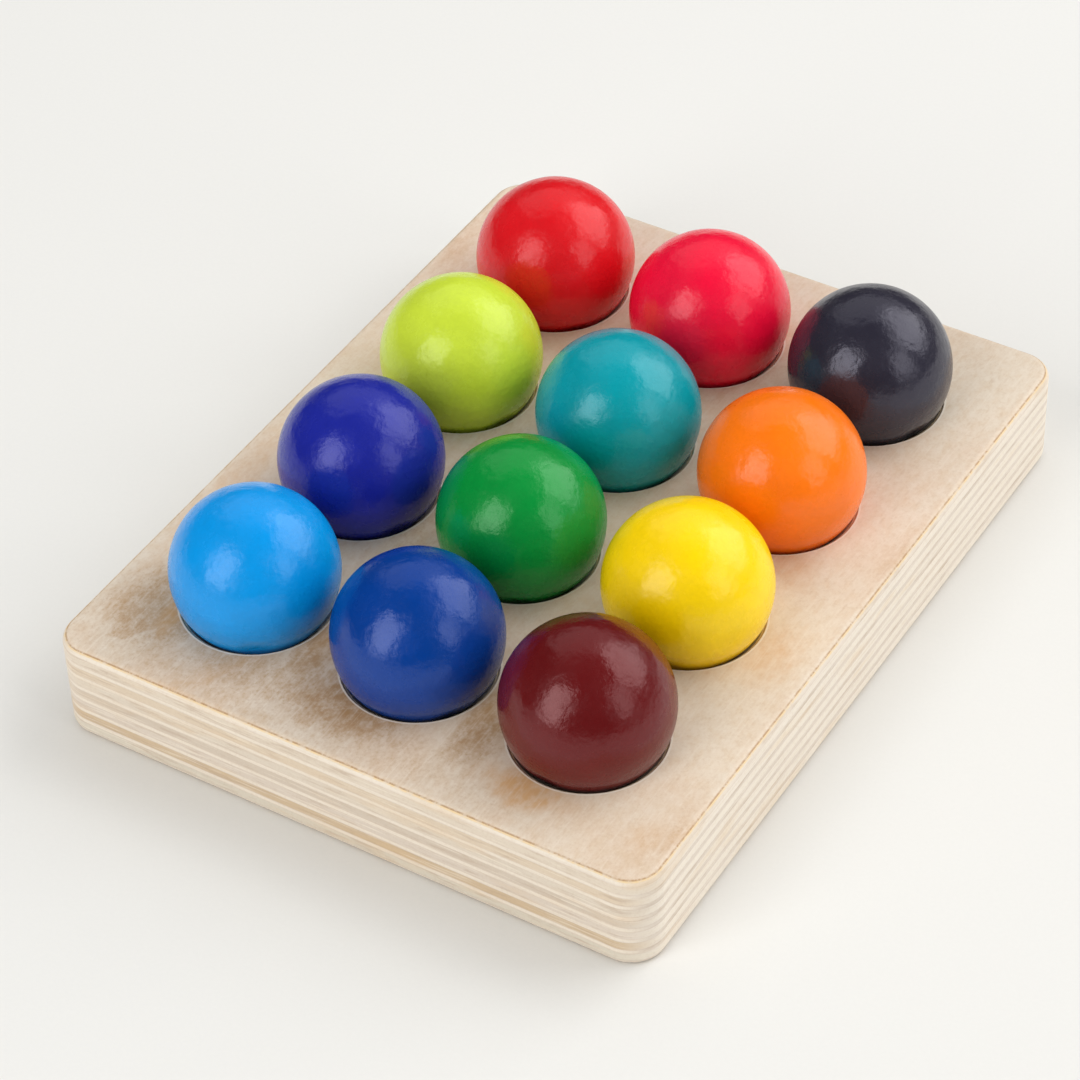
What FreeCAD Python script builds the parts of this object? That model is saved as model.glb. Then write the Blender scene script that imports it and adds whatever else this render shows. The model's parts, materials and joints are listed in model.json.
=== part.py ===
import FreeCAD, Part
import math
import os

# A colour-sorting board: a thick plywood block with twelve dished sockets in its top face and one
# painted wooden ball resting in each socket.
#
# Frame: millimetres, +Z up. The origin is at the middle of the board's underside. X runs along the
# board's short side, Y along its long side.

# ---- board -------------------------------------------------------------------------------------
BOARD_WIDTH = 178.0
BOARD_LENGTH = 229.0
CORNER_RADIUS = 9.5
EDGE_RADIUS = 2.3

# Plywood lay-up, the same from either face: a thin face veneer, then crossbands and cores by turns,
# starting and ending with a crossband.
FACE_VENEER = 0.5
CROSSBAND = 1.35
CORE = 2.6
CORE_COUNT = 7
CROSSBAND_COUNT = CORE_COUNT + 1
BOARD_HEIGHT = 2 * FACE_VENEER + CROSSBAND_COUNT * CROSSBAND + CORE_COUNT * CORE

# ---- balls and sockets -------------------------------------------------------------------------
BALL_DIAMETER = 45.0
BALL_PITCH = 50.0
BALL_RISE = 11.1
BALL_CLEARANCE = 0.3
DISH_DIAMETER = 47.0
RIM_CHAMFER = 0.35

BALL_RADIUS = BALL_DIAMETER / 2
DISH_RADIUS = DISH_DIAMETER / 2
DISH_DEPTH = BALL_RADIUS - BALL_RISE + BALL_CLEARANCE

# Ball colours, one row for each step along +Y, each row running along +X.
COLOUR_ROWS = [
    ["sky_blue", "royal_blue", "maroon"],
    ["indigo", "green", "yellow"],
    ["lime", "teal", "orange"],
    ["red", "crimson", "charcoal"],
]


def centred_places(count, pitch):
    """Give evenly spaced places along one axis, centred on zero."""
    return [(index - (count - 1) / 2) * pitch for index in range(count)]


def socket_places():
    """Give each ball's colour with its place on the board."""
    across = centred_places(len(COLOUR_ROWS[0]), BALL_PITCH)
    along = centred_places(len(COLOUR_ROWS), BALL_PITCH)
    places = []
    for y, row in zip(along, COLOUR_ROWS):
        for x, colour in zip(across, row):
            places.append((colour, x, y))
    return places


def rounded_block():
    """Make the whole board's outside: a block with round corners and eased top and bottom edges."""
    block = Part.makeBox(
        BOARD_WIDTH, BOARD_LENGTH, BOARD_HEIGHT, FreeCAD.Vector(-BOARD_WIDTH / 2, -BOARD_LENGTH / 2, 0)
    )
    upright = [edge for edge in block.Edges if edge.BoundBox.ZLength > BOARD_HEIGHT / 2]
    block = block.makeFillet(CORNER_RADIUS, upright)
    level = [edge for edge in block.Edges if edge.BoundBox.ZLength < EDGE_RADIUS]
    return block.makeFillet(EDGE_RADIUS, level)


def socket_cutter(x, y):
    """Make the solid that cuts one socket: a ball-nosed dish with a small chamfer round its rim."""
    dish_centre = FreeCAD.Vector(x, y, BOARD_HEIGHT - DISH_DEPTH + DISH_RADIUS)
    dish = Part.makeSphere(DISH_RADIUS, dish_centre)
    rim_radius = math.sqrt(DISH_RADIUS**2 - (DISH_RADIUS - DISH_DEPTH) ** 2)
    cone_height = 2 * RIM_CHAMFER
    chamfer = Part.makeCone(
        rim_radius + RIM_CHAMFER - cone_height,
        rim_radius + RIM_CHAMFER,
        cone_height,
        FreeCAD.Vector(x, y, BOARD_HEIGHT - cone_height),
    )
    return dish.fuse(chamfer)


def ply_stack():
    """List every ply from the top face down, as its node name and its thickness."""
    plies = [("top_face_veneer", FACE_VENEER)]
    for number in range(1, CORE_COUNT + 1):
        plies.append((f"crossband_{number}", CROSSBAND))
        plies.append((f"core_ply_{number}", CORE))
    plies.append((f"crossband_{CROSSBAND_COUNT}", CROSSBAND))
    plies.append(("bottom_face_veneer", FACE_VENEER))
    return plies


def cut_ply(block, top, thickness):
    """Slice one ply out of the board, between its top height and the glue line under it."""
    slab = Part.makeBox(
        BOARD_WIDTH, BOARD_LENGTH, thickness,
        FreeCAD.Vector(-BOARD_WIDTH / 2, -BOARD_LENGTH / 2, top - thickness),
    )
    ply = block.common(slab)
    if top > BOARD_HEIGHT - DISH_DEPTH:
        cutters = [socket_cutter(x, y) for _, x, y in socket_places()]
        ply = ply.cut(cutters)
    return ply.removeSplitter()


def ball(x, y):
    """Make one ball at its rest in its socket."""
    return Part.makeSphere(BALL_RADIUS, FreeCAD.Vector(x, y, BOARD_HEIGHT + BALL_RISE))


def save(shape, node):
    """Write one piece as a STEP file and print its size, so that a bad solid shows at once."""
    solid = shape.Solids[0]
    solid.exportStep(f"parts/{node}.step")
    print(f"{node}: {len(shape.Solids)} solid, valid {solid.isValid()}, {solid.Volume:.0f} mm3")


os.makedirs("parts", exist_ok=True)

board = rounded_block()
ply_top = BOARD_HEIGHT
for ply_name, ply_thickness in ply_stack():
    save(cut_ply(board, ply_top, ply_thickness), ply_name)
    ply_top -= ply_thickness

for ball_colour, ball_x, ball_y in socket_places():
    save(ball(ball_x, ball_y), f"ball_{ball_colour}")
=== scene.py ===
import json
import logging
import math
from dataclasses import dataclass, field
from enum import Enum
from typing import Callable, Union

import bpy
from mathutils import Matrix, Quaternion, Vector

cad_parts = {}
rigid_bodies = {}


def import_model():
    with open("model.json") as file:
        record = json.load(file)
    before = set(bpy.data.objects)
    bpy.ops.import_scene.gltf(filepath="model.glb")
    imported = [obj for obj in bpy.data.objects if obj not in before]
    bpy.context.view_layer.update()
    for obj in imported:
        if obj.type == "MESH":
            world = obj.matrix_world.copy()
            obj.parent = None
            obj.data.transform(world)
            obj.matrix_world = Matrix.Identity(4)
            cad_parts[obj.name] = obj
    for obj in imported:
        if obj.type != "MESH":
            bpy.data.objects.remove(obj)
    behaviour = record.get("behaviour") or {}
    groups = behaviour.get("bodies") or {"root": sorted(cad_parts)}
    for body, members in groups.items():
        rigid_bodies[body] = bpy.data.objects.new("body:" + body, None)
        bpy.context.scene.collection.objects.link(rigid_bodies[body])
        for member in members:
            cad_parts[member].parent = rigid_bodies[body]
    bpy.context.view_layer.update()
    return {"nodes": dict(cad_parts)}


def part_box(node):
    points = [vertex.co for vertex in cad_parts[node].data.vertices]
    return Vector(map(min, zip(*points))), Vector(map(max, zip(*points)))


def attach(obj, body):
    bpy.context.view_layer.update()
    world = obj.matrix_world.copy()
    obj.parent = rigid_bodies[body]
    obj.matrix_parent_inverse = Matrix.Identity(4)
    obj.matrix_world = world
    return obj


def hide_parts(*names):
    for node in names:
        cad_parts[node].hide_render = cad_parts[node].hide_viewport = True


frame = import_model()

LOG = logging.getLogger("ball_board")
MM = 0.001

# The standard curve from a colour card's levels to linear light.
CARD_WHITE = 255
CURVE_KNEE = 0.04045
CURVE_SLOPE = 12.92
CURVE_OFFSET = 0.055
CURVE_POWER = 2.4

Triple = tuple[float, float, float]
Colour = tuple[float, float, float, float]
# A node's input or output, several of them by name, and what can feed one.
Plug = bpy.types.NodeSocket
Plugs = dict[str, Plug]
Feed = Union[Plug, float, Colour, Triple]


def card(red: int, green: int, blue: int) -> Colour:
    """Turn a colour read off a paint card into linear light.

    Args:
        red: red on the card, 0 to 255.
        green: green on the card, 0 to 255.
        blue: blue on the card, 0 to 255.

    Returns:
        The linear colour with full alpha.
    """
    linear = []
    for level in (red, green, blue):
        share = level / CARD_WHITE
        if share <= CURVE_KNEE:
            linear.append(share / CURVE_SLOPE)
        else:
            linear.append(((share + CURVE_OFFSET) / (1 + CURVE_OFFSET)) ** CURVE_POWER)
    return (linear[0], linear[1], linear[2], 1.0)


def toned(colour: Colour, share: float, lift: float = 0.0) -> Colour:
    """Darken a colour to a share of itself, or lift it a little.

    Args:
        colour: the colour.
        share: how much of it is kept.
        lift: how much white light is added.

    Returns:
        The new colour with full alpha.
    """
    red, green, blue = (level * share + lift for level in colour[:3])
    return (red, green, blue, 1.0)


def deselect_all() -> None:
    """Leave nothing selected, so that the next operator acts on one piece only."""
    if bpy.context.object and bpy.context.object.mode != "OBJECT":
        bpy.ops.object.mode_set(mode="OBJECT")
    bpy.ops.object.select_all(action="DESELECT")


def make_active(piece: bpy.types.Object) -> None:
    """Select one piece alone and make it the active one.

    Args:
        piece: the piece to work on.
    """
    deselect_all()
    piece.select_set(True)
    bpy.context.view_layer.objects.active = piece


def settle(piece: bpy.types.Object) -> None:
    """Move a piece's place, turn and size into its mesh."""
    make_active(piece)
    bpy.ops.object.transform_apply(location=True, rotation=True, scale=True)


def pick_points(piece: bpy.types.Object, wanted: Callable[[Vector], bool]) -> None:
    """Open a piece for editing with only some of its points selected.

    Args:
        piece: the piece to open.
        wanted: says whether the point at a place is to be selected.
    """
    make_active(piece)
    bpy.ops.object.mode_set(mode="EDIT")
    bpy.ops.mesh.select_mode(type="VERT")
    bpy.ops.mesh.select_all(action="DESELECT")
    bpy.ops.object.mode_set(mode="OBJECT")
    for point in piece.data.vertices:
        point.select = wanted(point.co)
    bpy.ops.object.mode_set(mode="EDIT")


class Grain(Enum):
    """The two ways a ply's fibres can run."""

    ALONG = (0.0, 1.0, 0.0)
    ACROSS = (1.0, 0.0, 0.0)


class SocketKind(Enum):
    """What a socket of a shader effect carries."""

    NUMBER = "NodeSocketFloat"
    DIRECTION = "NodeSocketVector"


@dataclass(frozen=True)
class Step:
    """A soft step: it gives start at and below low, and end at and above high."""

    low: float
    high: float
    start: float = 0.0
    end: float = 1.0


@dataclass(frozen=True)
class Clouds:
    """A cloud-like pattern.

    Scale counts the clouds for each metre and detail their finer layers, rough says how strong those
    are, twist how far the clouds bend, and squeeze how they are packed along X, Y and Z.
    """

    scale: float
    detail: float = 2.0
    rough: float = 0.5
    twist: float = 0.0
    squeeze: Triple = (1.0, 1.0, 1.0)


@dataclass(frozen=True)
class Marks:
    """Small scattered marks: how many for each metre, how they are packed, and how their edges fade."""

    scale: float
    squeeze: Triple
    edge: Step


class Bench:
    """A node tree being wired: it adds nodes, feeds their inputs and hands back their results."""

    def __init__(self, tree: bpy.types.NodeTree) -> None:
        """Take the node tree to work on."""
        self.tree = tree

    def feed(self, socket: Plug, source: Feed) -> None:
        """Wire a socket to another node's result, or set its value.

        Args:
            socket: the input to fill.
            source: a result to wire in, or a plain value.
        """
        if isinstance(source, Plug):
            self.tree.links.new(source, socket)
        else:
            socket.default_value = source

    def add(self, kind: str, inputs: dict[str, Feed], **options: object) -> bpy.types.Node:
        """Add one node.

        Args:
            kind: the node's type name.
            inputs: what feeds each input, by the input's name.
            options: the node's own settings.

        Returns:
            The new node.
        """
        node = self.tree.nodes.new(kind)
        for name, value in options.items():
            setattr(node, name, value)
        for name, source in inputs.items():
            self.feed(node.inputs[name], source)
        return node

    def vectors(self, operation: str, first: Feed, second: Feed) -> Plug:
        """Combine two vectors.

        Args:
            operation: the sum to do, such as SUBTRACT.
            first: the first vector.
            second: the second vector.

        Returns:
            The resulting vector.
        """
        node = self.tree.nodes.new("ShaderNodeVectorMath")
        node.operation = operation
        self.feed(node.inputs[0], first)
        self.feed(node.inputs[1], second)
        return node.outputs["Vector"]

    def length(self, vector: Feed) -> Plug:
        """Measure a vector's length."""
        node = self.tree.nodes.new("ShaderNodeVectorMath")
        node.operation = "LENGTH"
        self.feed(node.inputs[0], vector)
        return node.outputs["Value"]

    def clouds(self, vector: Feed, pattern: Clouds) -> Plug:
        """Add a cloud-like noise from 0 to 1.

        Args:
            vector: the coordinate it reads.
            pattern: how it looks.

        Returns:
            The noise's value.
        """
        inputs = {
            "Vector": self.vectors("MULTIPLY", vector, pattern.squeeze),
            "Scale": pattern.scale,
            "Detail": pattern.detail,
            "Roughness": pattern.rough,
            "Distortion": pattern.twist,
        }
        return self.add("ShaderNodeTexNoise", inputs).outputs[0]

    def marks(self, vector: Feed, pattern: Marks) -> Plug:
        """Add scattered marks, 1 inside them and 0 between them.

        Args:
            vector: the coordinate they are scattered over.
            pattern: how they look.

        Returns:
            The marks' mask.
        """
        packed = self.vectors("MULTIPLY", vector, pattern.squeeze)
        inputs = {"Vector": packed, "Scale": pattern.scale, "Randomness": 1.0}
        spots = self.add("ShaderNodeTexVoronoi", inputs)
        return self.ease(spots.outputs["Distance"], pattern.edge)

    def ease(self, value: Feed, step: Step) -> Plug:
        """Map a value through a soft step.

        Args:
            value: the value to map.
            step: the step.

        Returns:
            The mapped value.
        """
        inputs = {
            "Value": value,
            "From Min": step.low,
            "From Max": step.high,
            "To Min": step.start,
            "To Max": step.end,
        }
        node = self.add("ShaderNodeMapRange", inputs, interpolation_type="SMOOTHSTEP")
        return node.outputs["Result"]

    def sums(self, operation: str, first: Feed, second: Feed = 0.0) -> Plug:
        """Combine two numbers.

        Args:
            operation: the sum to do, such as MULTIPLY.
            first: the first number.
            second: the second number.

        Returns:
            The result.
        """
        node = self.tree.nodes.new("ShaderNodeMath")
        node.operation = operation
        self.feed(node.inputs[0], first)
        self.feed(node.inputs[1], second)
        return node.outputs[0]

    def weigh(self, *parts: tuple[Feed, float]) -> Plug:
        """Add several numbers up, each times its weight.

        Args:
            parts: each number with its weight.

        Returns:
            The sum.
        """
        weighed = [self.sums("MULTIPLY", number, weight) for number, weight in parts]
        total = weighed[0]
        for part in weighed[1:]:
            total = self.sums("ADD", total, part)
        return total

    def blend(self, share: Feed, base: Feed, top: Feed) -> Plug:
        """Lay one colour over another.

        Args:
            share: how much of the top colour shows, 0 to 1.
            base: the colour underneath.
            top: the colour on top.

        Returns:
            The mixed colour.
        """
        node = self.tree.nodes.new("ShaderNodeMix")
        node.data_type = "RGBA"
        sockets = {socket.identifier: socket for socket in node.inputs}
        self.feed(sockets["Factor_Float"], share)
        self.feed(sockets["A_Color"], base)
        self.feed(sockets["B_Color"], top)
        return next(socket for socket in node.outputs if socket.identifier == "Result_Color")

    def place(self) -> Plug:
        """Read where a point of the piece lies."""
        return self.add("ShaderNodeTexCoord", {}).outputs["Object"]

    def normal(self) -> Plug:
        """Read which way the surface faces."""
        return self.add("ShaderNodeTexCoord", {}).outputs["Normal"]

    def height(self) -> Plug:
        """Read how high a point of the piece lies."""
        return self.add("ShaderNodeSeparateXYZ", {"Vector": self.place()}).outputs["Z"]


class Effect:
    """A shader effect that is built once, as a node group, and placed in every material that uses it."""

    title = "effect"
    takes: dict[str, SocketKind] = {}
    gives: dict[str, SocketKind] = {}

    def __init__(self) -> None:
        """Build the group with its named inputs and outputs."""
        self.group = bpy.data.node_groups.new(self.title, "ShaderNodeTree")
        for name, kind in self.takes.items():
            self.group.interface.new_socket(name=name, in_out="INPUT", socket_type=kind.value)
        for name, kind in self.gives.items():
            self.group.interface.new_socket(name=name, in_out="OUTPUT", socket_type=kind.value)
        bench = Bench(self.group)
        entry = self.group.nodes.new("NodeGroupInput")
        results = self.wire(bench, {socket.name: socket for socket in entry.outputs if socket.name})
        leave = self.group.nodes.new("NodeGroupOutput")
        for name, result in results.items():
            bench.feed(leave.inputs[name], result)

    def wire(self, bench: Bench, given: Plugs) -> Plugs:
        """Wire the effect's nodes.

        Args:
            bench: the group's tree.
            given: the group's inputs by name.

        Returns:
            The group's results by name.
        """
        raise NotImplementedError

    def place(self, bench: Bench, **inputs: Feed) -> Plugs:
        """Place the effect in a material.

        Args:
            bench: the material's tree.
            inputs: what feeds each input, with _ for the spaces in its name.

        Returns:
            The effect's results by name.
        """
        node = bench.tree.nodes.new("ShaderNodeGroup")
        node.node_tree = self.group
        for name, source in inputs.items():
            bench.feed(node.inputs[name.replace("_", " ")], source)
        return {socket.name: socket for socket in node.outputs}


class WoodFigure(Effect):
    """The figure of a birch sheet whose fibres run along Y, from its clouds down to its flecks."""

    title = "wood_figure"
    takes = {"Place": SocketKind.DIRECTION}
    gives = {
        "Cloud": SocketKind.NUMBER,
        "Mottle": SocketKind.NUMBER,
        "Grit": SocketKind.NUMBER,
        "Fibre": SocketKind.NUMBER,
        "Fleck": SocketKind.NUMBER,
    }

    cloud = Clouds(36.0, detail=4.0, rough=0.55, twist=0.5, squeeze=(1.0, 0.5, 1.0))
    mottle = Clouds(430.0, detail=3.0, rough=0.60, squeeze=(1.0, 0.6, 1.0))
    grit = Clouds(1350.0, detail=2.0, rough=0.65, squeeze=(1.0, 0.75, 1.0))
    fibre = Clouds(1500.0, detail=3.0, rough=0.6, squeeze=(1.0, 0.035, 1.0))
    fleck = Marks(420.0, squeeze=(1.0, 0.22, 1.0), edge=Step(0.08, 0.20, 1.0, 0.0))

    def wire(self, bench: Bench, given: Plugs) -> Plugs:
        """Wire the layers, from the coarsest to the finest. See Effect.wire."""
        place = given["Place"]
        return {
            "Cloud": bench.clouds(place, self.cloud),
            "Mottle": bench.clouds(place, self.mottle),
            "Grit": bench.clouds(place, self.grit),
            "Fibre": bench.clouds(place, self.fibre),
            "Fleck": bench.marks(place, self.fleck),
        }


class SoftPatch(Effect):
    """A soft-edged patch of colour in the wood, with a ragged outline."""

    title = "soft_patch"
    takes = {"Centre": SocketKind.DIRECTION, "Reach": SocketKind.DIRECTION}
    gives = {"Mask": SocketKind.NUMBER}
    outline = Clouds(120.0, detail=4.0, rough=0.6, squeeze=(1.0, 0.4, 1.0))
    outline_mean = 0.5
    edge = Step(0.25, 1.05, 1.0, 0.0)

    def wire(self, bench: Bench, given: Plugs) -> Plugs:
        """Measure how far a point is from the centre as a share of the reach. See Effect.wire."""
        place = bench.place()
        off = bench.vectors("SUBTRACT", place, given["Centre"])
        share = bench.length(bench.vectors("DIVIDE", off, given["Reach"]))
        ragged = bench.sums("SUBTRACT", bench.clouds(place, self.outline), self.outline_mean)
        return {"Mask": bench.ease(bench.sums("ADD", share, ragged), self.edge)}


class SocketRing(Effect):
    """A ring round the rim of every socket in the board's grid."""

    title = "socket_ring"
    takes = {
        "Pitch": SocketKind.NUMBER,
        "Columns": SocketKind.NUMBER,
        "Rows": SocketKind.NUMBER,
        "Radius": SocketKind.NUMBER,
        "Half Width": SocketKind.NUMBER,
    }
    gives = {"Mask": SocketKind.NUMBER}
    edge = Step(0.3, 1.0, 1.0, 0.0)

    def wire(self, bench: Bench, given: Plugs) -> Plugs:
        """Measure how far a point is from the nearest rim. See Effect.wire."""
        parts = bench.add("ShaderNodeSeparateXYZ", {"Vector": bench.place()}).outputs
        off_x = self.off_nearest(bench, parts["X"], given["Pitch"], given["Columns"])
        off_y = self.off_nearest(bench, parts["Y"], given["Pitch"], given["Rows"])
        out = bench.length(bench.add("ShaderNodeCombineXYZ", {"X": off_x, "Y": off_y}).outputs["Vector"])
        off = bench.sums("ABSOLUTE", bench.sums("SUBTRACT", out, given["Radius"]))
        return {"Mask": bench.ease(bench.sums("DIVIDE", off, given["Half Width"]), self.edge)}

    def off_nearest(self, bench: Bench, value: Feed, pitch: Feed, count: Feed) -> Plug:
        """Measure how far a value is from the nearest of some evenly spaced places centred on zero.

        Args:
            bench: the group's tree.
            value: the value.
            pitch: the spacing of the places.
            count: how many places there are.

        Returns:
            The distance, with its sign.
        """
        last = bench.sums("SUBTRACT", count, 1.0)
        middle = bench.sums("MULTIPLY", last, 0.5)
        nearest = bench.sums("ROUND", bench.sums("ADD", bench.sums("DIVIDE", value, pitch), middle))
        nearest = bench.sums("MAXIMUM", bench.sums("MINIMUM", nearest, last), 0.0)
        from_middle = bench.sums("SUBTRACT", nearest, middle)
        return bench.sums("SUBTRACT", value, bench.sums("MULTIPLY", from_middle, pitch))


class EndGrain(Effect):
    """Where a cut shows the ends of the fibres, from 0 along the grain to 1 square to it."""

    title = "end_grain"
    takes = {"Grain": SocketKind.DIRECTION}
    gives = {"Mask": SocketKind.NUMBER}
    power = 2.0

    def wire(self, bench: Bench, given: Plugs) -> Plugs:
        """Square the part of the normal that lies along the grain. See Effect.wire."""
        along = bench.tree.nodes.new("ShaderNodeVectorMath")
        along.operation = "DOT_PRODUCT"
        bench.feed(along.inputs[0], bench.normal())
        bench.feed(along.inputs[1], given["Grain"])
        return {"Mask": bench.sums("POWER", bench.sums("ABSOLUTE", along.outputs["Value"]), self.power)}


class GlueLine(Effect):
    """A level glue line at a given height, a little uneven in width and strength."""

    title = "glue_line"
    takes = {"Line": SocketKind.NUMBER, "Half Width": SocketKind.NUMBER}
    gives = {"Mask": SocketKind.NUMBER}
    edge = Step(0.45, 1.0, 1.0, 0.0)
    patches = Clouds(420.0, detail=4.0, rough=0.75)
    patch_strength = Step(0.38, 0.58, 0.30, 1.0)

    def wire(self, bench: Bench, given: Plugs) -> Plugs:
        """Measure how far a point is from the line and fade the line along its run. See Effect.wire."""
        off = bench.sums("ABSOLUTE", bench.sums("SUBTRACT", bench.height(), given["Line"]))
        line = bench.ease(bench.sums("DIVIDE", off, given["Half Width"]), self.edge)
        strength = bench.ease(bench.clouds(bench.place(), self.patches), self.patch_strength)
        return {"Mask": bench.sums("MULTIPLY", line, strength)}


class EasedEdge(Effect):
    """Where a level face turns over into the sanded edge, from 0 on the flat to 1 on the side."""

    title = "eased_edge"
    gives = {"Mask": SocketKind.NUMBER}
    turn_over = Step(0.55, 0.97, 1.0, 0.0)

    def wire(self, bench: Bench, given: Plugs) -> Plugs:
        """Read the upright part of the normal. See Effect.wire."""
        upright = bench.add("ShaderNodeSeparateXYZ", {"Vector": bench.normal()}).outputs["Z"]
        return {"Mask": bench.ease(bench.sums("ABSOLUTE", upright), self.turn_over)}


class PaintFilm(Effect):
    """Sprayed paint over turned wood: its tone, its gloss and its relief, with the grain along Y."""

    title = "paint_film"
    takes = {"Place": SocketKind.DIRECTION}
    gives = {
        "Tone": SocketKind.NUMBER,
        "Gloss": SocketKind.NUMBER,
        "Relief": SocketKind.NUMBER,
        "Scuff": SocketKind.NUMBER,
    }

    peel = Clouds(700.0)
    peel_weight = 0.34
    ripple = Clouds(240.0, detail=1.0)
    ripple_weight = 0.66
    grain = Clouds(1100.0, detail=2.0, rough=0.6, squeeze=(1.0, 0.06, 1.0))
    grain_weight = 0.05
    pores = Marks(900.0, squeeze=(1.0, 0.14, 1.0), edge=Step(0.05, 0.20, 1.0, 0.0))
    pore_weight = -0.03
    cloud = Clouds(55.0, detail=3.0, rough=0.55)
    cloud_tone = 0.7
    grain_tone = 0.3
    sheen = Clouds(150.0, detail=4.0, rough=0.6)
    sheen_step = Step(0.25, 0.75)
    rubs = Clouds(95.0, detail=5.0, rough=0.7, twist=0.4, squeeze=(1.0, 1.0, 0.4))
    rub_edge = Step(0.60, 0.74)

    def wire(self, bench: Bench, given: Plugs) -> Plugs:
        """Wire the orange peel, the pores under the paint and the handling marks. See Effect.wire."""
        place = given["Place"]
        grain = bench.clouds(place, self.grain)
        cloud = bench.clouds(place, self.cloud)
        relief = bench.weigh(
            (bench.clouds(place, self.peel), self.peel_weight),
            (bench.clouds(place, self.ripple), self.ripple_weight),
            (grain, self.grain_weight),
            (bench.marks(place, self.pores), self.pore_weight),
        )
        return {
            "Tone": bench.weigh((cloud, self.cloud_tone), (grain, self.grain_tone)),
            "Gloss": bench.ease(bench.clouds(place, self.sheen), self.sheen_step),
            "Relief": relief,
            "Scuff": bench.ease(bench.clouds(place, self.rubs), self.rub_edge),
        }


@dataclass
class EffectShelf:
    """Every shared effect, each built once."""

    figure: WoodFigure = field(default_factory=WoodFigure)
    end_grain: EndGrain = field(default_factory=EndGrain)
    glue_line: GlueLine = field(default_factory=GlueLine)
    eased_edge: EasedEdge = field(default_factory=EasedEdge)
    patch: SoftPatch = field(default_factory=SoftPatch)
    ring: SocketRing = field(default_factory=SocketRing)
    paint_film: PaintFilm = field(default_factory=PaintFilm)


def open_material(name: str) -> tuple[bpy.types.Material, Bench, bpy.types.Node]:
    """Start a material that holds one Principled shader.

    Args:
        name: the material's name.

    Returns:
        The material, the bench for its tree, and its shader.
    """
    material = bpy.data.materials.new(name)
    material.use_nodes = True
    return material, Bench(material.node_tree), material.node_tree.nodes["Principled BSDF"]


def raise_relief(bench: Bench, shader: bpy.types.Node, relief: Feed, depth: float) -> None:
    """Give a shader fine relief.

    Args:
        bench: the material's tree.
        shader: the Principled shader.
        relief: the height, about 0 to 1.
        depth: what a height of 1 means, in metres.
    """
    bump = bench.add("ShaderNodeBump", {"Height": relief, "Distance": depth, "Strength": 1.0})
    bench.feed(shader.inputs["Normal"], bump.outputs["Normal"])


@dataclass(frozen=True)
class Stain:
    """A soft patch where the veneer's colour changes."""

    x: float
    y: float
    reach_x: float
    reach_y: float
    strength: float

    def mask(self, bench: Bench, shelf: EffectShelf) -> Plug:
        """Place the patch in a material.

        Args:
            bench: the material's tree.
            shelf: the shared effects.

        Returns:
            The patch's mask.
        """
        centre = (self.x * MM, self.y * MM, 0.0)
        reach = (self.reach_x * MM, self.reach_y * MM, 1.0)
        mask = shelf.patch.place(bench, Centre=centre, Reach=reach)["Mask"]
        return bench.sums("MULTIPLY", mask, self.strength)


@dataclass(frozen=True)
class SocketGrid:
    """Where the sockets' rims lie on the face."""

    pitch: float = 50 * MM
    columns: int = 3
    rows: int = 4
    rim_radius: float = 20.9 * MM
    # The pale ring round each rim is a painted highlight, where the rim's small chamfer catches the
    # light.
    painted_highlight_half: float = 0.34 * MM

    def rims(self, bench: Bench, shelf: EffectShelf) -> Plug:
        """Place the rings of painted highlight round the rims in a material.

        Args:
            bench: the material's tree.
            shelf: the shared effects.

        Returns:
            The rings' mask.
        """
        rings = shelf.ring.place(
            bench,
            Pitch=self.pitch,
            Columns=float(self.columns),
            Rows=float(self.rows),
            Radius=self.rim_radius,
            Half_Width=self.painted_highlight_half,
        )
        return rings["Mask"]


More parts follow.
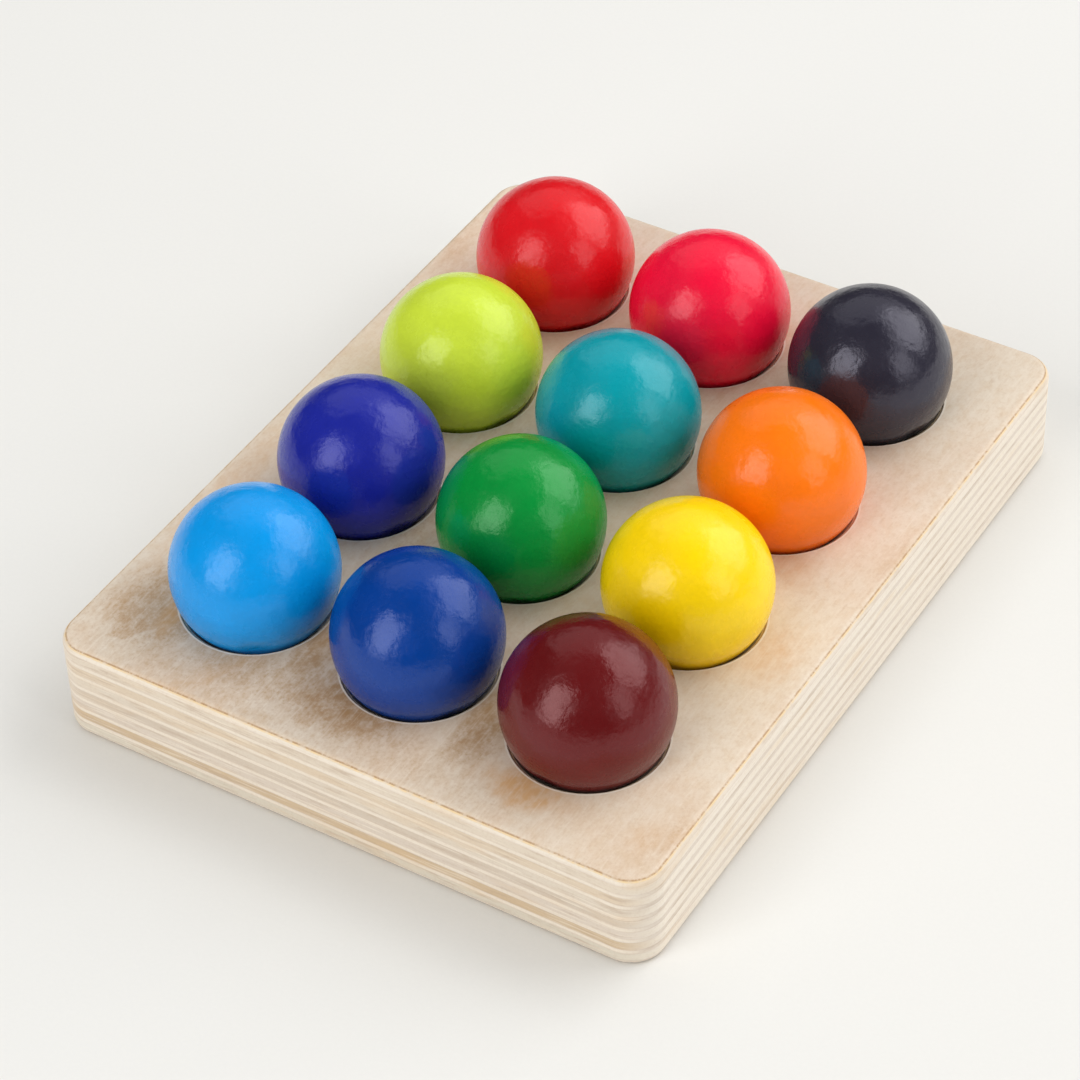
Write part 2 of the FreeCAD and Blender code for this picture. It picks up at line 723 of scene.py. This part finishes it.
@dataclass(frozen=True)
class FaceVeneerFinish:
    """The board's face: bare birch veneer, sanded fine, with its glue line at the edge, brown painted
    shade at the balls' feet and a painted highlight round each socket's rim.
    """

    pale: Colour = card(221, 206, 186)
    rose: Colour = card(219, 197, 173)
    ochre: Colour = card(208, 178, 140)
    brown: Colour = card(170, 126, 74)
    grit: Colour = card(176, 136, 90)
    chalk: Colour = card(235, 225, 210)
    amber: Colour = card(206, 158, 104)
    fresh: Colour = card(232, 218, 192)
    glue: Colour = card(168, 122, 66)
    rose_clouds: Step = Step(0.38, 0.66)
    ochre_mottle: Step = Step(0.44, 0.72, 0.0, 0.26)
    chalk_mottle: Step = Step(0.30, 0.50, 0.14, 0.0)
    chalk_grains: Step = Step(0.28, 0.50, 0.16, 0.0)
    chalk_fibres: Step = Step(0.50, 0.72, 0.0, 0.22)
    grit_grains: Step = Step(0.48, 0.72)
    grit_in_brown: Step = Step(0.0, 0.6, 0.14, 0.50)
    brown_clouds: Step = Step(0.50, 0.80, 0.03, 0.30)
    brown_mottle: Step = Step(0.34, 0.66, 0.62, 0.90)
    amber_clouds: Step = Step(0.60, 0.76, 0.0, 0.3)
    amber_mottle: Step = Step(0.38, 0.62, 0.65, 1.0)
    fleck_share: float = 0.14
    edge_share: float = 0.5
    rim_highlight_share: float = 0.75
    glue_share: float = 0.75
    glue_half_width: float = 0.32 * MM
    roughness: Step = Step(0.3, 0.7, 0.47, 0.60)
    grit_relief: float = 0.8
    relief: float = 0.03 * MM
    sockets: SocketGrid = SocketGrid()
    # Partly real stain and partly painted shade: most of these brown patches sit at the balls' left-front
    # feet, where their shadows fall.
    brown_stains_and_painted_shade: tuple[Stain, ...] = (
        Stain(-8, -96, 28, 16, 1.0),
        Stain(-70, -88, 20, 24, 0.75),
        Stain(-36, -97, 34, 12, 0.50),
        Stain(-25, -80, 9, 24, 0.85),
        Stain(26, -84, 10, 24, 0.85),
        Stain(-26, -20, 12, 60, 0.35),
        Stain(-20, -104, 100, 16, 0.28),
    )
    amber_stains: tuple[Stain, ...] = (
        Stain(46, -99, 17, 8, 0.85),
        Stain(76, -29, 9, 15, 0.42),
        Stain(65, 3, 8, 11, 0.36),
        Stain(80, -98, 6, 9, 0.22),
        Stain(-66, -84, 5, 18, 0.75),
        Stain(-82, -45, 6, 60, 0.30),
    )

    def stained(
        self, bench: Bench, shelf: EffectShelf, stains: tuple[Stain, ...], start: Feed
    ) -> Plug:
        """Lay several soft patches over one another; the brown ones are partly stains and partly painted
        shade.

        Args:
            bench: the material's tree.
            shelf: the shared effects.
            stains: the stains.
            start: the mask under them.

        Returns:
            The strongest of the masks at each point.
        """
        mask = start
        for stain in stains:
            mask = bench.sums("MAXIMUM", mask, stain.mask(bench, shelf))
        return mask

    def make(self, name: str, shelf: EffectShelf, glue_height: float, cut: bool) -> bpy.types.Material:
        """Make the veneer's material.

        Args:
            name: the material's name.
            shelf: the shared effects.
            glue_height: how high the veneer's glue line lies, in metres.
            cut: whether the sockets are cut through this veneer.

        Returns:
            The material.
        """
        material, bench, shader = open_material(name)
        figure = shelf.figure.place(bench, Place=bench.place())
        cloud, mottle, grit, fibre = (figure[part] for part in ("Cloud", "Mottle", "Grit", "Fibre"))
        colour = bench.blend(bench.ease(cloud, self.rose_clouds), self.pale, self.rose)
        colour = bench.blend(bench.ease(mottle, self.ochre_mottle), colour, self.ochre)
        # The brown mask also carries the painted shade at the balls' feet.
        brown = self.stained(bench, shelf, self.brown_stains_and_painted_shade, bench.ease(cloud, self.brown_clouds))
        share = bench.sums("MULTIPLY", brown, bench.ease(mottle, self.brown_mottle))
        colour = bench.blend(share, colour, self.brown)
        colour = bench.blend(bench.ease(mottle, self.chalk_mottle), colour, self.chalk)
        share = bench.ease(brown, self.grit_in_brown)
        share = bench.sums("MULTIPLY", bench.ease(grit, self.grit_grains), share)
        colour = bench.blend(share, colour, self.grit)
        colour = bench.blend(bench.ease(grit, self.chalk_grains), colour, self.chalk)
        amber = self.stained(bench, shelf, self.amber_stains, bench.ease(cloud, self.amber_clouds))
        share = bench.sums("MULTIPLY", amber, bench.ease(mottle, self.amber_mottle))
        colour = bench.blend(share, colour, self.amber)
        colour = bench.blend(bench.sums("MULTIPLY", figure["Fleck"], self.fleck_share), colour, self.grit)
        colour = bench.blend(bench.ease(fibre, self.chalk_fibres), colour, self.chalk)
        eased = shelf.eased_edge.place(bench)["Mask"]
        colour = bench.blend(bench.sums("MULTIPLY", eased, self.edge_share), colour, self.fresh)
        if cut:
            # Painted highlight: a pale chalk ring round each socket's rim, where the chamfer catches the
            # light.
            rims = self.sockets.rims(bench, shelf)
            colour = bench.blend(bench.sums("MULTIPLY", rims, self.rim_highlight_share), colour, self.chalk)
        line = shelf.glue_line.place(bench, Line=glue_height, Half_Width=self.glue_half_width)["Mask"]
        colour = bench.blend(bench.sums("MULTIPLY", line, self.glue_share), colour, self.glue)
        bench.feed(shader.inputs["Base Color"], colour)
        bench.feed(shader.inputs["Roughness"], bench.ease(grit, self.roughness))
        raise_relief(bench, shader, bench.weigh((fibre, 1.0), (grit, self.grit_relief)), self.relief)
        return material


class PlyTone(Enum):
    """The tones that the cores' end grain has, from the top ply down."""

    CREAM = card(222, 208, 189)
    TAN = card(219, 201, 177)
    OAT = card(220, 207, 189)
    GREY_BROWN = card(210, 195, 177)
    ROSE = card(218, 204, 188)
    AMBER = card(206, 182, 150)
    PALE = card(216, 206, 188)


@dataclass(frozen=True)
class PlyFinish:
    """One inner ply's cut edge: plain where the fibres lie along it, smeared where they end in it."""

    long_tone: Colour
    end_tone: Colour
    grain: Grain
    bright: Colour = card(243, 232, 214)
    smear: Colour = card(188, 163, 138)
    warm: Colour = card(222, 188, 140)
    glue: Colour = card(198, 162, 116)
    face_glue: Colour = card(234, 204, 148)
    lines: Clouds = Clouds(1700.0, detail=3.0, rough=0.65, squeeze=(0.03, 0.03, 1.0))
    smears: Clouds = Clouds(700.0, detail=4.0, rough=0.65, squeeze=(0.12, 0.12, 1.0))
    drift: Clouds = Clouds(32.0, detail=3.0, rough=0.6, squeeze=(1.0, 1.0, 5.0))
    dust: Clouds = Clouds(1300.0, detail=2.0, rough=0.6)
    wander: Clouds = Clouds(420.0, detail=3.0, squeeze=(0.2, 0.2, 1.0))
    wander_mean: float = 0.5
    wander_height: float = 0.7 * MM
    heart_full: float = 0.10
    heart_gone: float = 0.55
    heart_share: float = 0.55
    long_lines: Step = Step(0.46, 0.70, 0.0, 0.18)
    end_smears: Step = Step(0.48, 0.70, 0.0, 0.56)
    end_lines: Step = Step(0.52, 0.70, 0.0, 0.50)
    warm_drift: Step = Step(0.50, 0.72, 0.0, 0.30)
    dust_share: Step = Step(0.45, 0.75, 0.0, 0.14)
    glue_half_width: float = 0.14 * MM
    glue_share: float = 0.20
    face_glue_half_width: float = 0.42 * MM
    face_glue_share: float = 0.75
    roughness: Step = Step(0.3, 0.7, 0.53, 0.68)
    line_relief: float = 0.6
    dust_relief: float = 0.4
    relief: float = 0.04 * MM

    def heart(self, bench: Bench, place: Feed, low: float, high: float) -> Plug:
        """Find the bright band that runs, a little unevenly, along the middle of the ply.

        Args:
            bench: the material's tree.
            place: where a point of the piece lies.
            low: the height of the ply's underside, in metres.
            high: the height of the ply's top, in metres.

        Returns:
            The band's mask.
        """
        wander = bench.sums("SUBTRACT", bench.clouds(place, self.wander), self.wander_mean)
        middle = bench.sums("ADD", (low + high) / 2, bench.sums("MULTIPLY", wander, self.wander_height))
        off = bench.sums("ABSOLUTE", bench.sums("SUBTRACT", bench.height(), middle))
        thickness = high - low
        return bench.ease(off, Step(self.heart_full * thickness, self.heart_gone * thickness, 1.0, 0.0))

    def make(
        self, name: str, shelf: EffectShelf, low: float, high: float, outer: float
    ) -> bpy.types.Material:
        """Make the ply's material.

        Args:
            name: the material's name.
            shelf: the shared effects.
            low: the height of the ply's underside, in metres.
            high: the height of the ply's top, in metres.
            outer: the height of the face veneer's glue line, in metres.

        Returns:
            The material.
        """
        material, bench, shader = open_material(name)
        place = bench.place()
        ends = shelf.end_grain.place(bench, Grain=self.grain.value)["Mask"]
        lines = bench.clouds(place, self.lines)
        smears = bench.clouds(place, self.smears)
        dust = bench.clouds(place, self.dust)
        heart = bench.sums("MULTIPLY", self.heart(bench, place, low, high), self.heart_share)
        long_side = bench.blend(heart, self.long_tone, self.bright)
        long_side = bench.blend(bench.ease(lines, self.long_lines), long_side, self.smear)
        end_side = bench.blend(bench.ease(smears, self.end_smears), self.end_tone, self.smear)
        end_side = bench.blend(bench.ease(lines, self.end_lines), end_side, self.bright)
        colour = bench.blend(ends, long_side, end_side)
        warmth = bench.ease(bench.clouds(place, self.drift), self.warm_drift)
        colour = bench.blend(warmth, colour, self.warm)
        colour = bench.blend(bench.ease(dust, self.dust_share), colour, self.smear)
        for line in (low, high):
            glue = shelf.glue_line.place(bench, Line=line, Half_Width=self.glue_half_width)["Mask"]
            colour = bench.blend(bench.sums("MULTIPLY", glue, self.glue_share), colour, self.glue)
        glue = shelf.glue_line.place(bench, Line=outer, Half_Width=self.face_glue_half_width)["Mask"]
        colour = bench.blend(bench.sums("MULTIPLY", glue, self.face_glue_share), colour, self.face_glue)
        bench.feed(shader.inputs["Base Color"], colour)
        bench.feed(shader.inputs["Roughness"], bench.ease(dust, self.roughness))
        relief = bench.weigh((lines, self.line_relief), (dust, self.dust_relief))
        raise_relief(bench, shader, relief, self.relief)
        return material


class Paint(Enum):
    """The twelve paints, each named as its ball is."""

    SKY_BLUE = card(0, 150, 229)
    ROYAL_BLUE = card(0, 58, 142)
    MAROON = card(98, 18, 20)
    INDIGO = card(28, 38, 150)
    GREEN = card(4, 142, 56)
    YELLOW = card(255, 215, 0)
    LIME = card(203, 224, 60)
    TEAL = card(0, 153, 166)
    ORANGE = card(255, 121, 10)
    RED = card(222, 20, 30)
    CRIMSON = card(242, 14, 58)
    CHARCOAL = card(44, 42, 54)


@dataclass(frozen=True)
class PaintFinish:
    """Satin-gloss toy paint, sprayed thin enough that the wood's pores still show in its shine."""

    paint: Paint
    centre: Vector
    turn: Triple
    deep_share: float = 0.90
    scuffed_share: float = 0.94
    scuffed_lift: float = 0.012
    tone: Step = Step(0.34, 0.62)
    scuff_share: float = 0.5
    roughness: Step = Step(0.0, 1.0, 0.22, 0.30)
    scuff_roughness: float = 0.06
    shine: float = 0.58
    shine_hue: float = 0.40
    relief: float = 0.30 * MM

    def make(self, name: str, shelf: EffectShelf) -> bpy.types.Material:
        """Make the paint's material.

        Args:
            name: the material's name.
            shelf: the shared effects.

        Returns:
            The material.
        """
        material, bench, shader = open_material(name)
        lie = {"Vector": bench.place(), "Location": tuple(self.centre), "Rotation": self.turn}
        turned = bench.add("ShaderNodeMapping", lie, vector_type="TEXTURE").outputs["Vector"]
        film = shelf.paint_film.place(bench, Place=turned)
        fresh = self.paint.value
        scuffed = toned(fresh, self.scuffed_share, self.scuffed_lift)
        colour = bench.blend(bench.ease(film["Tone"], self.tone), toned(fresh, self.deep_share), fresh)
        colour = bench.blend(bench.sums("MULTIPLY", film["Scuff"], self.scuff_share), colour, scuffed)
        bench.feed(shader.inputs["Base Color"], colour)
        rough = bench.sums("MULTIPLY", film["Scuff"], self.scuff_roughness)
        rough = bench.sums("ADD", bench.ease(film["Gloss"], self.roughness), rough)
        bench.feed(shader.inputs["Roughness"], rough)
        strongest = max(fresh[:3])
        tint = tuple(1 + self.shine_hue * (level / strongest - 1) for level in fresh[:3])
        shader.inputs["Specular IOR Level"].default_value = self.shine
        shader.inputs["Specular Tint"].default_value = tint + (1.0,)
        raise_relief(bench, shader, film["Relief"], self.relief)
        return material


@dataclass
class PlywoodBoard:
    """The board: its plies stay as the frame has them, and each is dressed in its own birch."""

    shelf: EffectShelf
    face: FaceVeneerFinish = field(default_factory=FaceVeneerFinish)
    core_ends: tuple[PlyTone, ...] = tuple(PlyTone)
    core_long: Colour = card(238, 228, 215)
    crossband_long: Colour = card(224, 211, 196)
    crossband_ends: Colour = card(224, 211, 196)

    def finish_for(self, node: str) -> PlyFinish:
        """Choose an inner ply's finish from its kind and its number.

        Args:
            node: the ply's name, such as core_ply_3.

        Returns:
            The finish.
        """
        kind, number = node.rsplit("_", 1)
        if kind == "core_ply":
            return PlyFinish(self.core_long, self.core_ends[int(number) - 1].value, Grain.ALONG)
        return PlyFinish(self.crossband_long, self.crossband_ends, Grain.ACROSS)

    def dress(self, node: str, veneers: tuple[float, float]) -> None:
        """Give one ply its material.

        Args:
            node: the ply's name.
            veneers: the heights of the lower and the upper face veneer's glue line.
        """
        low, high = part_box(node)
        under, over = veneers
        if node == "top_face_veneer":
            material = self.face.make(node, self.shelf, over, cut=True)
        elif node == "bottom_face_veneer":
            material = self.face.make(node, self.shelf, under, cut=False)
        else:
            nearer = over if abs(high.z - over) < abs(low.z - under) else under
            material = self.finish_for(node).make(node, self.shelf, low.z, high.z, nearer)
        ply = frame["nodes"][node]
        ply.data.materials.clear()
        ply.data.materials.append(material)

    def build(self) -> None:
        """Dress every ply of the board."""
        veneers = (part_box("bottom_face_veneer")[1].z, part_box("top_face_veneer")[0].z)
        for node in sorted(name for name in frame["nodes"] if not name.startswith("ball_")):
            self.dress(node, veneers)
            LOG.info("dressed %s", node)


@dataclass
class TurnedBalls:
    """The balls: turned from wood, flat where the lathe held them, sanded and painted."""

    shelf: EffectShelf
    flat_depth: float = 0.45 * MM
    flat_crown: float = 0.05
    flat_rounding: float = 0.5
    flat_passes: int = 3
    mark_radius: float = 1.0 * MM
    mark_depth: float = 0.12 * MM
    undersize: float = 0.01 * MM
    waves: tuple[tuple[float, float], ...] = ((16 * MM, 0.08 * MM), (4 * MM, 0.015 * MM))
    facets: int = 6
    upright: Paint = Paint.ORANGE
    upright_lean: float = math.radians(31)
    nick_azimuth: float = 57.0
    nick_elevation: float = 31.0
    nick_radius: float = 0.6 * MM
    nick_depth: float = 0.16 * MM
    lean: float = math.radians(58)
    lean_spread: float = math.radians(5)
    heading: float = math.radians(33)
    swing: float = math.radians(35)

    def blank(self, centre: Vector, radius: float) -> bpy.types.Object:
        """Turn one ball with a small flat at each end of its axis.

        Args:
            centre: the ball's centre.
            radius: the ball's full radius.

        Returns:
            The turned ball, not yet painted.
        """
        turned = radius - self.undersize
        deselect_all()
        bpy.ops.mesh.primitive_ico_sphere_add(subdivisions=self.facets, radius=turned, location=centre)
        ball = bpy.context.active_object
        settle(ball)
        for end in (1, -1):
            self.turn_flat(ball, centre, end * (turned - self.flat_depth))
        for size, depth in self.waves:
            self.sand(ball, size, depth)
        make_active(ball)
        bpy.ops.object.shade_smooth()
        return ball

    def turn_flat(self, ball: bpy.types.Object, centre: Vector, rise: float) -> None:
        """Turn the small flat, with its centre mark, that the lathe leaves at one end of the axis.

        Args:
            ball: the ball.
            centre: its centre.
            rise: how high the flat lies over the centre, or under it when below zero.
        """
        end = math.copysign(1, rise)
        level = centre + Vector((0, 0, rise))
        pick_points(ball, lambda point: (point.z - level.z) * end > 0)
        bpy.ops.transform.resize(value=(1.0, 1.0, self.flat_crown), center_override=level)
        bpy.ops.mesh.select_more()
        bpy.ops.mesh.vertices_smooth(factor=self.flat_rounding, repeat=self.flat_passes)
        bpy.ops.object.mode_set(mode="OBJECT")
        pick_points(ball, lambda point: (point - level).length < self.mark_radius)
        bpy.ops.transform.translate(value=(0, 0, -end * self.mark_depth))
        bpy.ops.object.mode_set(mode="OBJECT")

    def nick(self, ball: bpy.types.Object, centre: Vector, radius: float) -> None:
        """Press one small nick into a ball's side.

        Args:
            ball: the ball.
            centre: its centre.
            radius: its radius.
        """
        outward = direction(self.nick_azimuth, self.nick_elevation)
        spot = centre + outward * radius
        pick_points(ball, lambda point: (point - spot).length < self.nick_radius)
        bpy.ops.transform.translate(value=-outward * self.nick_depth)
        bpy.ops.object.mode_set(mode="OBJECT")

    def sand(self, ball: bpy.types.Object, size: float, depth: float) -> None:
        """Wear the ball a little out of round, always inwards.

        Args:
            ball: the ball.
            size: how far apart the hollows are.
            depth: how deep they go.
        """
        unevenness = bpy.data.textures.new("unevenness", "CLOUDS")
        unevenness.noise_scale = size
        unevenness.noise_depth = 1
        modifier = ball.modifiers.new("sanding", "DISPLACE")
        modifier.texture = unevenness
        modifier.texture_coords = "LOCAL"
        modifier.strength = depth
        modifier.mid_level = 1.0
        make_active(ball)
        bpy.ops.object.modifier_apply(modifier=modifier.name)

    def set_in_socket(
        self, blank: bpy.types.Object, start: Vector, centre: Vector, turn: Triple
    ) -> bpy.types.Object:
        """Copy the turned ball into a socket, with its axis lying its own way.

        Args:
            blank: the ball to copy.
            start: where that ball is.
            centre: where the new ball is to be.
            turn: the turn about X, Y and Z, in radians.

        Returns:
            The new ball.
        """
        make_active(blank)
        bpy.ops.object.duplicate(linked=False)
        ball = bpy.context.active_object
        bpy.ops.object.mode_set(mode="EDIT")
        bpy.ops.mesh.select_all(action="SELECT")
        for axis, angle in zip("XYZ", turn):
            # The turn is counted anticlockwise and given here clockwise.
            bpy.ops.transform.rotate(value=-angle, orient_axis=axis, center_override=start)
        bpy.ops.transform.translate(value=centre - start)
        bpy.ops.object.mode_set(mode="OBJECT")
        return ball

    def turn_for(self, number: int, paint: Paint) -> Triple:
        """Choose how a ball's axis lies: one stands nearly upright, the others lean well back.

        Args:
            number: the ball's place in the row of paints.
            paint: the ball's paint.

        Returns:
            The turn about X, Y and Z, in radians.
        """
        if paint is self.upright:
            return (-self.upright_lean, 0.0, self.heading)
        golden_turn = number * math.pi * (3 - math.sqrt(5))
        lean = self.lean + self.lean_spread * math.cos(golden_turn)
        heading = self.heading + self.swing * math.sin(golden_turn)
        return (-lean, 0.0, heading)

    def build(self) -> None:
        """Turn, set and paint all the balls."""
        first = f"ball_{next(iter(Paint)).name.lower()}"
        low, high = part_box(first)
        start = (low + high) / 2
        radius = (high.x - low.x) / 2
        blank = self.blank(start, radius)
        for number, paint in enumerate(Paint):
            node = f"ball_{paint.name.lower()}"
            low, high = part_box(node)
            centre = (low + high) / 2
            turn = self.turn_for(number, paint)
            ball = self.set_in_socket(blank, start, centre, turn)
            ball.name = f"painted_{node}"
            if paint is self.upright:
                self.nick(ball, centre, radius)
            finish = PaintFinish(paint, centre, turn)
            ball.data.materials.clear()
            ball.data.materials.append(finish.make(f"paint_{paint.name.lower()}", self.shelf))
            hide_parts(node)
            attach(ball, node)
            LOG.info("set %s", ball.name)
        bpy.data.objects.remove(blank)


@dataclass(frozen=True)
class PaperFinish:
    """The pale matt paper that the board stands on."""

    shade: Colour = card(226, 225, 221)
    darker: float = 0.97
    tooth: Clouds = Clouds(900.0, detail=3.0)
    roughness: float = 0.85
    relief: float = 0.02 * MM

    def make(self, name: str) -> bpy.types.Material:
        """Make the paper's material.

        Args:
            name: the material's name.

        Returns:
            The material.
        """
        material, bench, shader = open_material(name)
        tooth = bench.clouds(bench.place(), self.tooth)
        colour = bench.blend(tooth, self.shade, toned(self.shade, self.darker))
        bench.feed(shader.inputs["Base Color"], colour)
        shader.inputs["Roughness"].default_value = self.roughness
        raise_relief(bench, shader, tooth, self.relief)
        return material


@dataclass(frozen=True)
class SoftBox:
    """One flat studio light, aimed at the board."""

    name: str
    azimuth: float
    elevation: float
    width: float
    height: float
    power: float
    distance: float = 2.3

    def hang(self, target: Vector) -> None:
        """Hang the light.

        Args:
            target: the point it is aimed at.
        """
        lamp = bpy.data.lights.new(self.name, "AREA")
        lamp.shape = "RECTANGLE"
        lamp.size = self.width
        lamp.size_y = self.height
        lamp.energy = self.power
        holder = bpy.data.objects.new(self.name, lamp)
        bpy.context.scene.collection.objects.link(holder)
        holder.visible_camera = False
        away = direction(self.azimuth, self.elevation)
        holder.location = target + away * self.distance
        holder.rotation_mode = "QUATERNION"
        holder.rotation_quaternion = (-away).to_track_quat("-Z", "Y")


def direction(azimuth: float, elevation: float) -> Vector:
    """Give the direction of a place round the board.

    Args:
        azimuth: degrees round from the front, towards +X.
        elevation: degrees above the floor.

    Returns:
        The direction, one metre long.
    """
    around, above = math.radians(azimuth), math.radians(elevation)
    level = math.cos(above)
    return Vector((math.sin(around) * level, -math.cos(around) * level, math.sin(above)))


@dataclass
class Studio:
    """The floor, the lights and the camera."""

    floor_side: float = 9.0
    floor_gap: float = 0.02 * MM
    ambient: float = 0.40
    camera_azimuth: float = 32.96
    camera_elevation: float = 42.08
    camera_roll: float = -2.39
    camera_distance: float = 0.9978
    lens: float = 126.13
    film_width: float = 36.0
    near_limit: float = 0.01
    aim: Vector = field(default_factory=lambda: Vector((1.8, -19.2, 30.0)) * MM)
    light_height: float = 0.03
    lights: tuple[SoftBox, ...] = (
        SoftBox("back_right_box", azimuth=142.0, elevation=41.0, width=2.1, height=1.9, power=35.8),
        SoftBox("right_box", azimuth=85.0, elevation=30.0, width=1.0, height=1.5, power=10.0),
        SoftBox("front_left_box", azimuth=-16.5, elevation=31.0, width=1.3, height=2.0, power=30.6),
        SoftBox("top_box", azimuth=-147.0, elevation=50.0, width=2.8, height=2.0, power=11.0),
    )

    def lay_floor(self) -> None:
        """Lay the plain floor just under the board."""
        deselect_all()
        bpy.ops.mesh.primitive_plane_add(size=self.floor_side, location=(0.0, 0.0, -self.floor_gap))
        floor = bpy.context.active_object
        floor.name = "floor"
        floor.data.materials.append(PaperFinish().make("floor_paper"))

    def light(self) -> None:
        """Hang the lights and set the soft light of the room."""
        for box in self.lights:
            box.hang(Vector((0.0, 0.0, self.light_height)))
        world = bpy.data.worlds.new("room")
        world.use_nodes = True
        background = world.node_tree.nodes["Background"]
        background.inputs["Color"].default_value = (1.0, 1.0, 1.0, 1.0)
        background.inputs["Strength"].default_value = self.ambient
        world.cycles_visibility.glossy = False
        bpy.context.scene.world = world

    def place_camera(self) -> None:
        """Place the camera."""
        sight = bpy.data.cameras.new("camera")
        sight.lens = self.lens
        sight.sensor_width = self.film_width
        sight.clip_start = self.near_limit
        camera = bpy.data.objects.new("camera", sight)
        bpy.context.scene.collection.objects.link(camera)
        away = direction(self.camera_azimuth, self.camera_elevation)
        camera.location = self.aim + away * self.camera_distance
        camera.rotation_mode = "QUATERNION"
        roll = Quaternion((0.0, 0.0, 1.0), math.radians(self.camera_roll))
        camera.rotation_quaternion = (-away).to_track_quat("-Z", "Y") @ roll
        bpy.context.scene.camera = camera

    def build(self) -> None:
        """Set up the whole studio."""
        self.lay_floor()
        self.light()
        self.place_camera()
        bpy.context.scene.view_settings.view_transform = "Standard"
        LOG.info("set up the studio")


def main() -> None:
    """Build every sub-assembly in order."""
    logging.basicConfig(level=logging.INFO, format="%(name)s: %(message)s")
    shelf = EffectShelf()
    PlywoodBoard(shelf).build()
    TurnedBalls(shelf).build()
    Studio().build()


if __name__ == "__main__":
    main()
